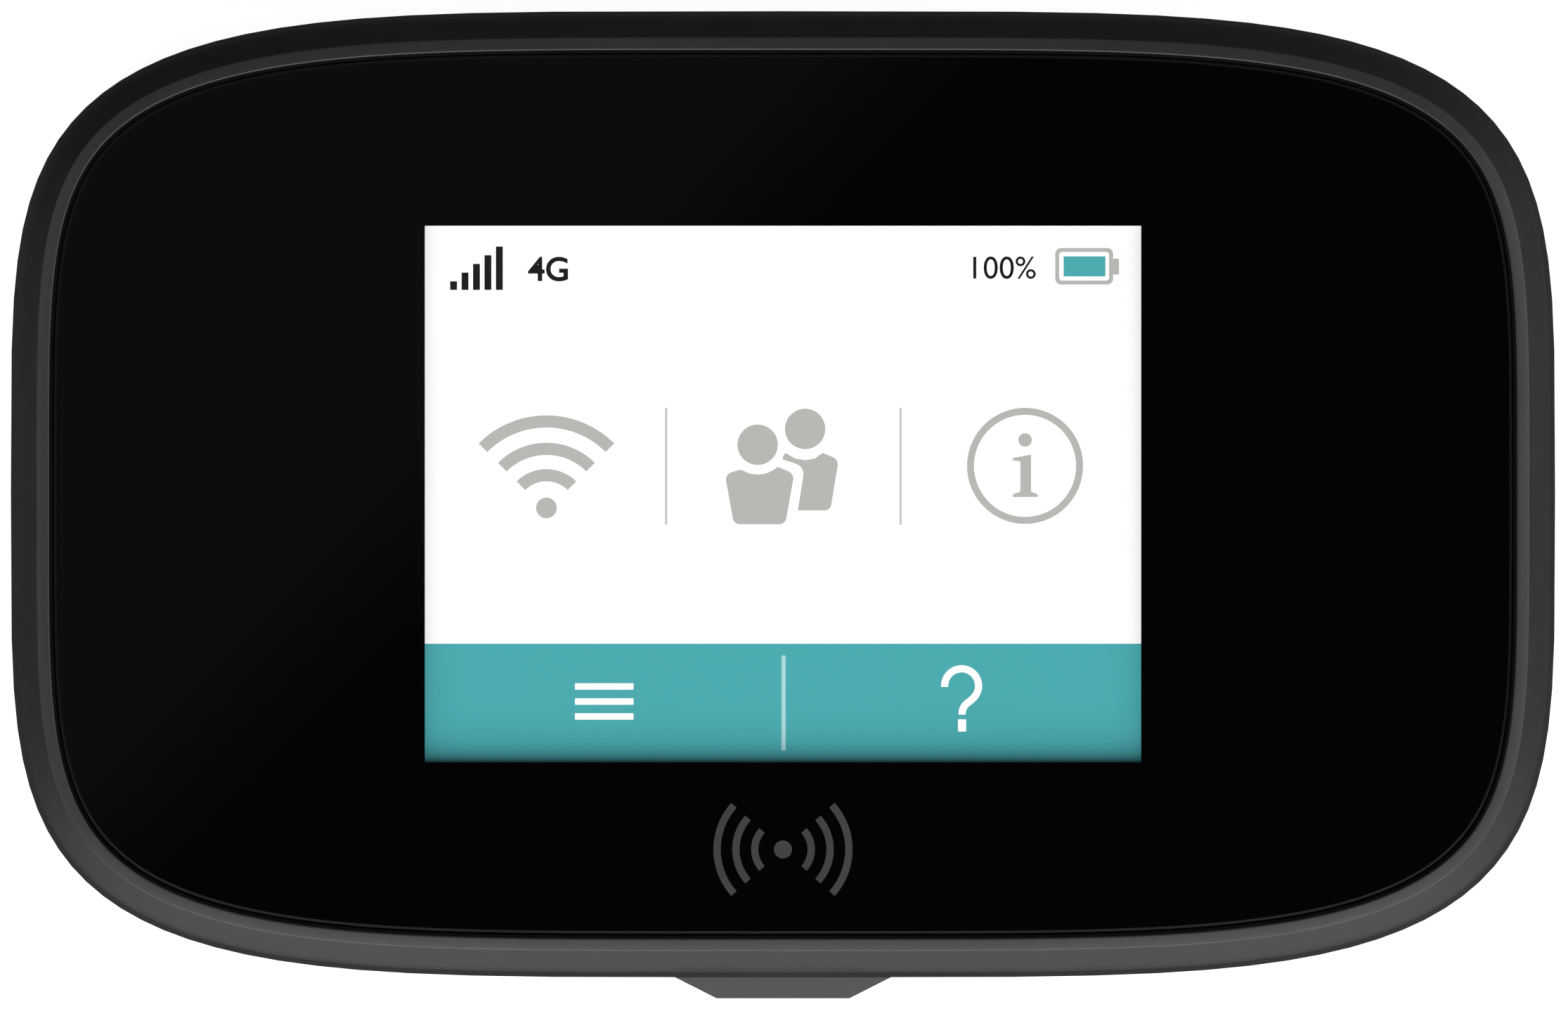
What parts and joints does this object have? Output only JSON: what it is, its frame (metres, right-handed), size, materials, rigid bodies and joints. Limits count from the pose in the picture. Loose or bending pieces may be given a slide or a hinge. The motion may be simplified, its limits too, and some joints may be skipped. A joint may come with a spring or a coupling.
{
  "type": "mobile hotspot",
  "caption": "Pocket 4G router with a rounded satin case, glossy touchscreen front, bottom charging port, top power key and a pull-off rear cover over a removable battery.",
  "frame": {"origin": "middle of the body outline, on the plane that the back rests on", "axes": "+X to the right across the screen, +Y towards the top edge, +Z out of the screen"},
  "size_m": [0.1068, 0.0683, 0.0188],
  "materials": {
    "cover_glass": "polished, black border printed behind it",
    "clear_film": "clear film",
    "display": "lit panel",
    "white_diffuser": "diffusing sheet",
    "black_adhesive": "tape",
    "black_foam": "foam",
    "thermal_rubber": "soft pad",
    "amber_flex": "polyimide film",
    "sheet_steel": "stamped",
    "screw_steel": "plated",
    "dark_shell": "fine satin moulding",
    "black_shell": "soft matte moulding",
    "black_plastic": "moulded",
    "circuit_board": "solder mask",
    "ceramic_parts": "fired",
    "gold_contact": "plated",
    "card_plastic": "smooth",
    "battery_case": "wrapped pouch",
    "battery_label": "printed film"
  },
  "bodies": {
    "housing": {"cover_glass": "cover_glass", "glass_adhesive": "black_adhesive", "touch_sensor": "clear_film", "touch_flex": "amber_flex", "lcd_gasket": "black_foam", "lcd_cell": "display", "lcd_backlight": "white_diffuser", "lcd_frame": "sheet_steel", "display_flex": "amber_flex", "front_housing": "dark_shell", "mid_plate": "sheet_steel", "plate_screws": "screw_steel", "thermal_pads": "thermal_rubber", "main_board": "circuit_board", "board_screws": "screw_steel", "board_passives": "ceramic_parts", "flex_connectors": "black_plastic", "modem_shield": "sheet_steel", "wifi_shield": "sheet_steel", "power_shield": "sheet_steel", "modem_chip": "black_plastic", "memory_chip": "black_plastic", "wifi_chip": "black_plastic", "power_chip": "black_plastic", "usb_socket": "sheet_steel", "usb_tongue": "black_plastic", "usb_contacts": "gold_contact", "sim_socket": "sheet_steel", "reset_switch": "sheet_steel", "power_switch": "sheet_steel", "battery_connector": "black_plastic", "battery_springs": "gold_contact", "chassis": "dark_shell", "housing_screws": "screw_steel", "main_antenna": "amber_flex", "diversity_antenna": "amber_flex", "wifi_antennas": "amber_flex", "antenna_clips": "gold_contact"},
    "rear_cover": {"rear_cover": "black_shell"},
    "battery": {"battery_pack": "battery_case", "battery_label": "battery_label", "battery_terminals": "gold_contact"},
    "sim_card": {"sim_card": "card_plastic"},
    "power_key": {"power_key": "black_shell", "power_plunger": "black_plastic"},
    "reset_plunger": {"reset_plunger": "black_plastic"}
  },
  "joints": [
    {"name": "case_lift", "type": "slide", "parent": "rear_cover", "child": "housing", "axis": [0, 0, 1], "range_m": [0, 0.03]},
    {"name": "battery_lift", "type": "slide", "parent": "rear_cover", "child": "battery", "axis": [0, 0, 1], "range_m": [0, 0.015]},
    {"name": "power_key_press", "type": "slide", "parent": "housing", "child": "power_key", "axis": [0, -1, 0], "range_m": [0, 0.0003], "stiffness_N_per_m": 300},
    {"name": "reset_press", "type": "slide", "parent": "housing", "child": "reset_plunger", "axis": [0, 0, 1], "range_m": [0, 0.00025], "stiffness_N_per_m": 50},
    {"name": "sim_card_slide", "type": "slide", "parent": "housing", "child": "sim_card", "axis": [0, -1, 0], "range_m": [0, 0.01]}
  ],
  "couplings": [
    {"joint": "battery_lift", "follows": "case_lift", "ratio": 0.5}
  ]
}
